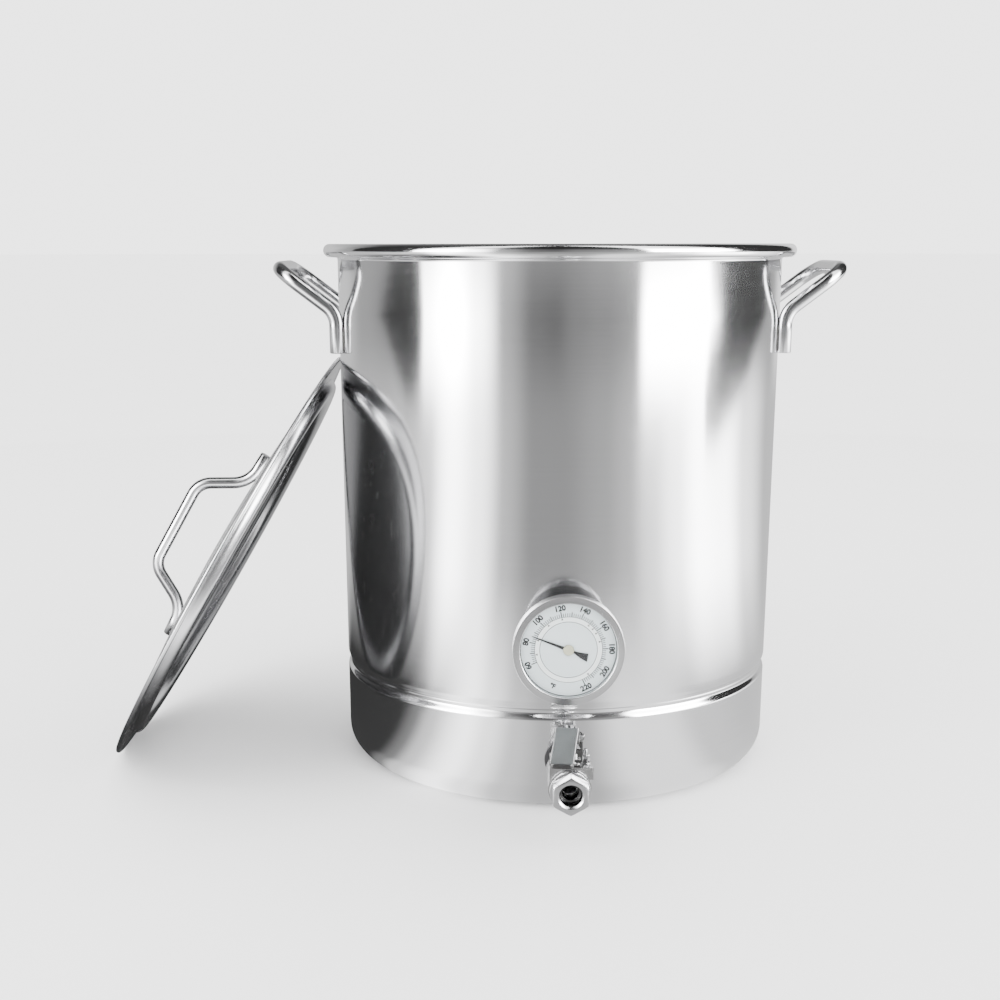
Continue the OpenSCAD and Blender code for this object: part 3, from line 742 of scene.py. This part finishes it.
def bezel():
    """Wide flat ring with a rolled outer edge, a bevelled window edge and a skirt."""
    depth = bezel_high.y - bezel_low.y
    window = BEZEL_R - 5.4 * MM
    inner = BEZEL_R - 2 * MM
    glass = depth - 1.3 * MM
    foot = 0.3 * MM
    roll = 0.4 * MM
    lip = 0.7 * MM
    profile = [(inner, 0), (BEZEL_R - foot, 0), (BEZEL_R, foot)]
    profile += arc(BEZEL_R - roll, depth - roll, roll, 0, 90, 8)
    profile += [(window + 0.9 * MM, depth - 0.05 * MM)]
    profile += arc(window + lip, depth - lip, lip, 90, 180, 6)
    profile += [(window, glass), (inner, glass)]
    place = Matrix.Translation((0, bezel_high.y, DIAL_CENTRE.z)) @ Matrix.Rotation(math.pi / 2, 4, "X")
    ring = lathe("bezel_ring", profile, segments=160, matrix=place)
    crease(ring, degrees=40)
    return put(ring, "kettle", BEZEL_STEEL, ["thermometer_bezel"])


def scale_angle(degrees_f):
    """Angle on the dial of a temperature, in radians from the right."""
    return math.radians(SCALE_START_ANGLE - (degrees_f - SCALE_START) * SCALE_STEP)


def flat_ring(name, inner, outer, thickness):
    """A thin printed ring on the dial."""
    profile = [(inner, 0), (outer, 0), (outer, thickness), (inner, thickness)]
    ring = lathe(name, profile, segments=128, matrix=DIAL)
    crease(ring, degrees=30)
    return ring


def tick(angle, inner, outer, width):
    """A thin radial bar on the dial."""
    along = Vector((math.cos(angle), math.sin(angle), 0))
    across = Vector((-along.y, along.x, 0)) * (width / 2)
    corners = [
        along * inner - across, along * outer - across,
        along * outer + across, along * inner + across,
    ]
    return prism("tick", [(corner.x, corner.y) for corner in corners], PRINT_T, DIAL)


def marker(angle):
    """A small triangle that points outwards at the scale."""
    base, tip, half = 22.2 * MM, 24.0 * MM, 0.75 * MM
    outline = [(base, -half), (tip, 0), (base, half)]
    return prism("marker", outline, 0.09 * MM, DIAL @ Matrix.Rotation(angle, 4, "Z"))


def lettering(text, size, angle, radius):
    """A raised figure, its foot towards the dial's centre, or away from it where the angle is negative."""
    curve = bpy.data.curves.new("figure", "FONT")
    curve.body = text
    curve.size = size
    curve.align_x = "CENTER"
    curve.align_y = "CENTER"
    curve.extrude = FIGURE_T
    curve.offset = FIGURE_BOLDNESS
    source = link(bpy.data.objects.new("figure.text", curve))
    turn = angle + (math.pi / 2 if angle < FLIPPED_BELOW else -math.pi / 2)
    place = Matrix.Translation((radius * math.cos(angle), radius * math.sin(angle), FIGURE_T))
    return from_evaluated("figure", source, DIAL @ place @ Matrix.Rotation(turn, 4, "Z"))


def dial_band():
    """The white annulus inside the ticks."""
    band = flat_ring("dial_band", 20.6 * MM, 24.0 * MM, 0.04 * MM)
    return put(band, "kettle", DIAL_WHITE)


def dial_print():
    """Ticks, numbers, thin circles and small markers, the outermost circle being painted shade under the
    bezel's window edge.
    """
    made = []
    for value in range(SCALE_START, SCALE_END + 1, 2):
        outer, width = next((outer, width) for every, outer, width in TICKS if value % every == 0)
        made.append(tick(scale_angle(value), TICK_INNER, outer, width))
    for value in range(SCALE_START, SCALE_END + 1, 20):
        made.append(lettering(str(value), FIGURE_SIZE, scale_angle(value), FIGURE_R))
    made.append(lettering("°F", UNIT_SIZE, UNIT_ANGLE, UNIT_R))
    # The outermost circle is painted shade: the dark line under the bezel's window edge
    for radius, half in CIRCLES_AND_EDGE_SHADE:
        made.append(flat_ring("circle", (radius - half) * MM, (radius + half) * MM, PRINT_T * 1.6))
    for value in MARKED_DEGREES:
        made.append(marker(scale_angle(value)))
    printed = join("dial_print", made)
    return put(printed, "kettle", BLACK_PAINT)


# ---------------------------------------------------------------- valve lever

LEVER_T = 3 * MM
LEVER_RISE = 15 * MM
LEVER_HALF = 7.8 * MM
LEVER_HUB_R = 11 * MM
LEVER_LEN = 103 * MM
LEVER_TIP_R = 3 * MM
LEVER_BEND_R = 6 * MM
LEVER_EDGE_R = 0.7 * MM
LEVER_TURN = math.radians(-6)

# The riser's start and end along the lever
RISER_START = 14 * MM
RISER_END = 28 * MM


def lever_frame():
    """The lever's own frame: origin on the stem at the base's underside, +X towards the grip."""
    return Matrix.Translation(LEVER_AXIS) @ Matrix.Rotation(LEVER_TURN - math.pi / 2, 4, "Z")


def lever_width(s):
    """Half width of the strip at a distance from the stem: a round hub, straight edges, round corners."""
    hub = math.sqrt(max(LEVER_HUB_R ** 2 - min(abs(s), LEVER_HUB_R) ** 2, (0.5 * MM) ** 2))
    if s < 0:
        return hub
    tip = LEVER_TIP_R
    if s > LEVER_LEN - tip:
        into = (s - LEVER_LEN + tip) / tip
        return LEVER_HALF - tip + tip * math.sqrt(max(1 - into * into, 0.01))
    return max(hub, LEVER_HALF)


def lever_path():
    """Stations along the strip, closer together where the hub and the tip's corners curve."""
    base_z = LEVER_T / 2
    grip_z = LEVER_RISE + LEVER_T / 2
    route = [
        Vector((-LEVER_HUB_R + 0.05 * MM, 0, base_z)),
        Vector((RISER_START, 0, base_z)),
        Vector((RISER_END, 0, grip_z)),
        Vector((LEVER_LEN, 0, grip_z)),
    ]
    bent = bend_path(route, [LEVER_BEND_R, LEVER_BEND_R], step=0.8 * MM)
    even = []
    for a, b in zip(bent, bent[1:]):
        count = max(1, int((b - a).length / (1.2 * MM)))
        even += [a.lerp(b, i / count) for i in range(count)]
    hub_edge = -LEVER_HUB_R * 0.45
    tip_edge = LEVER_LEN - LEVER_TIP_R
    path = []
    for degrees in range(3, 60, 6):
        path.append(Vector((-LEVER_HUB_R * math.cos(math.radians(degrees)), 0, base_z)))
    path += [point for point in even if hub_edge < point.x < tip_edge]
    for degrees in range(0, 91, 10):
        x = LEVER_LEN - LEVER_TIP_R * (1 - math.sin(math.radians(degrees)))
        path.append(Vector((x, 0, grip_z)))
    return path


def lever_strip():
    """Bent strip with rounded edges: hub, riser and grip."""
    path = lever_path()
    rings = []
    for i, point in enumerate(path):
        along = (path[min(i + 1, len(path) - 1)] - path[max(i - 1, 0)]).normalized()
        up = Vector((-along.z, 0, along.x))
        half = lever_width(point.x)
        r = min(LEVER_EDGE_R, half * 0.9)
        ring = []
        for sign_y, sign_z, start in ((1, 1, 0), (-1, 1, 90), (-1, -1, 180), (1, -1, 270)):
            for a in (0, 30, 60, 90):
                t = math.radians(start + a)
                y = sign_y * (half - r) + r * math.cos(t)
                z = sign_z * (LEVER_T / 2 - LEVER_EDGE_R) + LEVER_EDGE_R * math.sin(t)
                ring.append(point + Vector((0, y, 0)) + up * z)
        rings.append(ring)
    strip = loft("lever_strip", rings, lever_frame())
    crease(strip, degrees=40)
    return put(strip, "lever", LEVER_STEEL, ["valve_lever"])


def stop_tab():
    """Bent-down tab beside the hub, with its triangular window and hooked slot."""
    left = 3.2 * MM
    right = 10.2 * MM
    drop = 14.5 * MM
    foot = drop + 1 * MM
    corner = 1.5 * MM
    mid = (left + right) / 2
    outline = [(left, 0), (right - corner, 0), (right, corner), (right, foot), (left, foot)]
    window = [
        (mid - 2 * MM, drop - 4.5 * MM),
        (mid + 2 * MM, drop - 4.5 * MM),
        (mid, drop - 0.8 * MM),
    ]
    slot = [
        (mid - 1.7 * MM, 2.2 * MM), (mid + 1.7 * MM, 2.2 * MM), (mid + 1.7 * MM, 4.4 * MM),
        (mid + 0.6 * MM, 4.4 * MM), (mid + 0.6 * MM, 3.3 * MM), (mid - 0.6 * MM, 3.3 * MM),
        (mid - 0.6 * MM, 6.4 * MM), (mid - 1.7 * MM, 6.4 * MM),
    ]
    upright = Matrix.Rotation(math.pi / 2, 4, "X")
    place = Matrix.Translation(LEVER_AXIS) @ Matrix.Rotation(LEVER_TURN, 4, "Z")
    place = place @ Matrix.Translation((0, -9 * MM, -drop)) @ upright
    tab = plate("lever_stop_tab", [outline, window, slot], 2 * MM, 0.3 * MM, place)
    return put(tab, "lever", LEVER_STEEL)


# ---------------------------------------------------------------- CAD nodes that stay

CAD_LOOKS = {
    "thermometer_gasket": SILICONE,
    "thermometer_seal": SILICONE,
    "lens_gasket": SILICONE,
    "bulkhead_gasket": SILICONE,
    "bulkhead_seal": SILICONE,
    "inlet_seat": PTFE,
    "outlet_seat": PTFE,
    "stem_packing": PTFE,
    "bimetal_coil": BRASS,
    "spindle_bush": BRASS,
    "pointer_cap": CAP_PAINT,
    "thermometer_case": CASE_STEEL,
    "thermometer_dial": DIAL_PAINT,
    "pointer": BLACK_PAINT,
    "thermometer_lens": GLASS,
    "bulkhead_nipple": DULL_STEEL,
    "valve_body": CAST_STEEL,
    "valve_end_cap": OUTLET_STEEL,
}

# Width in millimetres of the broken edges on cast and turned nodes
BROKEN_EDGES = {
    "valve_body": 0.5,
    "valve_end_cap": 0.6,
    "lever_nut": 0.4,
    "gland_nut": 0.3,
    "stop_nut": 0.3,
    "stop_bolt": 0.3,
}


def break_edges(obj, width):
    """Welds the CAD mesh's split faces together and bevels its sharp edges."""
    weld = obj.modifiers.new("welded_faces", "WELD")
    weld.merge_threshold = 0.002 * MM
    bevel = obj.modifiers.new("broken_edge", "BEVEL")
    bevel.width = width
    bevel.segments = 2
    bevel.limit_method = "ANGLE"
    bevel.angle_limit = math.radians(40)


def dress_cad_nodes():
    """Materials and smooth shading for every CAD node, machined steel where none is listed."""
    for name, obj in frame["nodes"].items():
        obj.data.materials.clear()
        obj.data.materials.append(CAD_LOOKS.get(name, MACHINED_STEEL))
        crease(obj, degrees=28)
        if name in BROKEN_EDGES:
            break_edges(obj, BROKEN_EDGES[name] * MM)


# ---------------------------------------------------------------- studio

FLOOR_R = 60.0
CARD_R = 2.2
CARD_H = 3.2
CARD_LIFT = 0.0002

# Where the cards' low part takes over from the near one, by distance from the kettle's axis, and where
# the high part takes over from the low one, by height. Overhead the cards dim to a share of their brightness
NEAR_TO_LOW = (0.42, 0.95)
LOW_TO_HIGH = (0.08, 0.22)
OVERHEAD = (0.9, 2.2)
OVERHEAD_SHARE = 0.16

# Azimuth in degrees (0 towards the camera, positive to the right) and brightness of the studio's cards:
# high up on the ring, low on the ring and over the floor, and on the floor close to the kettle, where the
# dim stretch from -130 to -72 degrees is a painted shadow of the lid on the floor
CARDS_HIGH = (
    (-180, 0.9), (-140, 1.0), (-118, 0.5), (-75, 0.3), (-70, 14), (-54, 34), (-42, 11), (-29, 0.7),
    (-14, 0.22), (-4, 0.18), (6, 0.30), (18, 0.36), (36, 0.45), (41, 30), (80, 24), (87, 0.4),
    (134, 0.6), (150, 1.6), (180, 0.9),
)
CARDS_LOW = (
    (-180, 0.8), (-140, 0.8), (-100, 0.9), (-84, 1.2), (-68, 1.6), (-55, 9.0), (-41, 4.5), (-28, 0.9),
    (-14, 0.42), (0, 0.42), (20, 0.60), (32, 0.85), (44, 2.0), (58, 5.0), (72, 12), (88, 10), (106, 3.0),
    (134, 0.9), (180, 0.8),
)
# Close to the kettle the dim stretch from -130 to -72 degrees is a painted shadow of the lid on the floor,
# seen in reflections
CARDS_NEAR_WITH_LID_SHADOW = (
    (-180, 0.8), (-150, 0.6), (-130, 0.05), (-72, 0.06), (-63, 0.30), (-55, 1.2), (-38, 4.2), (-29, 2.6),
    (-18, 1.2), (-6, 0.75), (8, 0.75), (26, 2.0), (42, 2.0), (60, 1.2), (96, 1.0), (180, 0.8),
)

# Outlines of the two dark flags: height on the ring, and the azimuths of their left and right edges
LEFT_FLAG = (
    (0.10, -83, -78), (0.16, -90, -73), (0.24, -97, -71), (0.36, -113, -71), (3.1, -120, -71),
)
RIGHT_FLAG = (
    (0.004, 76, 82), (0.07, 74, 95), (0.15, 74, 108), (0.24, 77, 120), (0.36, 87, 140), (3.1, 92, 150),
)
FLAG_R = CARD_R - 0.05
FLAG_GLOW = 0.04

# Each light: its name, place, diameter and power. Both aim at the same point
LIGHTS = (
    ("key_light", (-1.6, -1.6, 2.4), 1.6, 30),
    ("fill_light", (1.8, -1.4, 1.8), 1.8, 18),
)
LIGHT_AIM = (0, 0, 0.2)
WORLD_STRENGTH = 3.4

CAMERA_PLACE = (-57.65 * MM, -1200.28 * MM, 413.55 * MM)
CAMERA_TURN = (math.radians(74.787), math.radians(0.048), math.radians(-0.527))
CAMERA_LENS = 52.56
CAMERA_SHIFT = 0.14


def emitter(name):
    """A material that only glows, its tree, and the input for its strength."""
    material = bpy.data.materials.new(name)
    material.use_nodes = True
    tree = material.node_tree
    tree.nodes.clear()
    glow = tree.nodes.new("ShaderNodeEmission")
    out = tree.nodes.new("ShaderNodeOutputMaterial")
    tree.links.new(glow.outputs["Emission"], out.inputs["Surface"])
    return material, tree, glow.inputs["Strength"]


def ramp_of(tree, azimuth, stops):
    """A smooth ramp of brightness over the azimuth, which runs from 0 to 1 round the ring."""
    top = max(value for _, value in stops)
    ramp = tree.nodes.new("ShaderNodeValToRGB")
    ramp.color_ramp.interpolation = "EASE"
    elements = ramp.color_ramp.elements
    while len(elements) > 1:
        elements.remove(elements[0])
    for i, (degrees, value) in enumerate(stops):
        spot = (degrees + 180) / 360
        element = elements[0] if i == 0 else elements.new(spot)
        element.position = spot
        element.color = (value / top, value / top, value / top, 1)
    tree.links.new(azimuth, ramp.inputs["Fac"])
    return maths(tree, "MULTIPLY", ramp.outputs["Color"], top)


def blend_of(tree, factor, first, second):
    """A mix of two brightnesses."""
    mix = tree.nodes.new("ShaderNodeMix")
    tree.links.new(factor, mix.inputs["Factor"])
    tree.links.new(first, mix.inputs["A"])
    tree.links.new(second, mix.inputs["B"])
    return mix.outputs["Result"]


def card_strength(tree):
    """Brightness of the cards, from the direction round the kettle, the distance and the height."""
    place = object_place(tree)
    split = tree.nodes.new("ShaderNodeSeparateXYZ")
    tree.links.new(place, split.inputs[0])
    height = split.outputs["Z"]
    forward = maths(tree, "MULTIPLY", split.outputs["Y"], -1)
    angle = maths(tree, "ARCTAN2", split.outputs["X"], forward)
    azimuth = remap(tree, angle, (-math.pi, math.pi), (0, 1))
    # The near ramp holds the painted shadow of the lid on the floor
    high, low, near = [ramp_of(tree, azimuth, stops) for stops in (CARDS_HIGH, CARDS_LOW, CARDS_NEAR_WITH_LID_SHADOW)]
    distance = length_of(tree, scaled(tree, place, (1, 1, 0)))
    ground = blend_of(tree, remap(tree, distance, NEAR_TO_LOW, (0, 1)), near, low)
    ring = blend_of(tree, remap(tree, height, LOW_TO_HIGH, (0, 1)), ground, high)
    return maths(tree, "MULTIPLY", ring, remap(tree, height, OVERHEAD, (1.0, OVERHEAD_SHARE)))


def only_in_reflections(obj):
    obj.visible_camera = False
    obj.visible_diffuse = False
    obj.visible_shadow = False
    obj.visible_transmission = False
    obj.visible_volume_scatter = False


def reflection_cards():
    """A ring of studio cards with a closed top, and a sweep near the floor, seen only in reflections."""
    ring = [(0, CARD_LIFT), (0.30, CARD_LIFT), (CARD_R * 0.7, CARD_LIFT), (CARD_R, CARD_LIFT)]
    rows = 12
    for i in range(1, rows + 1):
        ring.append((CARD_R, CARD_H * i / rows))
    ring += [(CARD_R * 0.6, CARD_H * 1.15), (0, CARD_H * 1.2)]
    cards = lathe("studio_cards", ring, segments=180, closed=False)
    material, tree, strength = emitter("studio_card")
    tree.links.new(card_strength(tree), strength)
    cards.data.materials.append(material)
    only_in_reflections(cards)
    return cards


def dark_flag(name, outline):
    """A curved dark card just inside the ring, seen only in reflections."""
    columns = 24
    rows_between = 6
    rows = []
    for lower, upper in zip(outline, outline[1:]):
        for k in range(rows_between):
            t = k / rows_between
            rows.append([a + (b - a) * t for a, b in zip(lower, upper)])
    rows.append(outline[-1])
    verts, faces = [], []
    for z, left, right in rows:
        for c in range(columns + 1):
            a = math.radians(left + (right - left) * c / columns)
            verts.append((FLAG_R * math.sin(a), -FLAG_R * math.cos(a), z))
    for r in range(len(rows) - 1):
        for c in range(columns):
            i = r * (columns + 1) + c
            faces.append((i, i + 1, i + columns + 2, i + columns + 1))
    card = new_mesh(name, verts, faces)
    material, _, strength = emitter(name)
    strength.default_value = FLAG_GLOW
    card.data.materials.append(material)
    only_in_reflections(card)
    return card


def floor():
    """Large pale disc that reflections don't show."""
    material, tree, shader = node_material("studio_floor")
    soft = noise_of(tree, object_place(tree), 3.0, 2.0)
    tree.links.new(mixed(tree, soft, (0.90, 0.90, 0.90), (0.92, 0.92, 0.92)), shader.inputs["Base Color"])
    shader.inputs["Roughness"].default_value = 0.9
    ground = lathe("studio_floor", [(0, 0), (FLOOR_R * 0.1, 0), (FLOOR_R, 0)], segments=96, closed=False)
    ground.data.materials.append(material)
    ground.visible_glossy = False
    return ground


def area_light(name, place, diameter, power):
    """A round lamp that reflections don't show."""
    data = bpy.data.lights.new(name, "AREA")
    data.shape = "DISK"
    data.size = diameter
    data.energy = power
    obj = link(bpy.data.objects.new(name, data))
    obj.location = place
    obj.rotation_mode = "QUATERNION"
    obj.rotation_quaternion = (Vector(LIGHT_AIM) - Vector(place)).to_track_quat("-Z", "Y")
    obj.visible_glossy = False
    return obj


def world():
    """An even white surround."""
    made = bpy.data.worlds.new("studio_world")
    made.use_nodes = True
    back = made.node_tree.nodes["Background"]
    back.inputs["Color"].default_value = (1, 1, 1, 1)
    back.inputs["Strength"].default_value = WORLD_STRENGTH
    bpy.context.scene.world = made


def camera():
    """The view from slightly left of the kettle's front, looking down by about 15 degrees."""
    data = bpy.data.cameras.new("camera")
    data.sensor_width = 36
    data.lens = CAMERA_LENS
    data.shift_y = CAMERA_SHIFT
    data.dof.use_dof = False
    obj = link(bpy.data.objects.new("camera", data))
    obj.location = CAMERA_PLACE
    obj.rotation_euler = CAMERA_TURN
    bpy.context.scene.camera = obj


dress_cad_nodes()
kettle_shell()
side_handle("side_bar_left", -1, "left_handle")
side_handle("side_bar_right", 1, "right_handle")
side_handle_welds()
lid_panel()
lid_handle()
lid_handle_welds()
bezel()
dial_band()
dial_print()
lever_strip()
stop_tab()

floor()
reflection_cards()
dark_flag("left_flag", LEFT_FLAG)
dark_flag("right_flag", RIGHT_FLAG)
world()
for light in LIGHTS:
    area_light(*light)
camera()
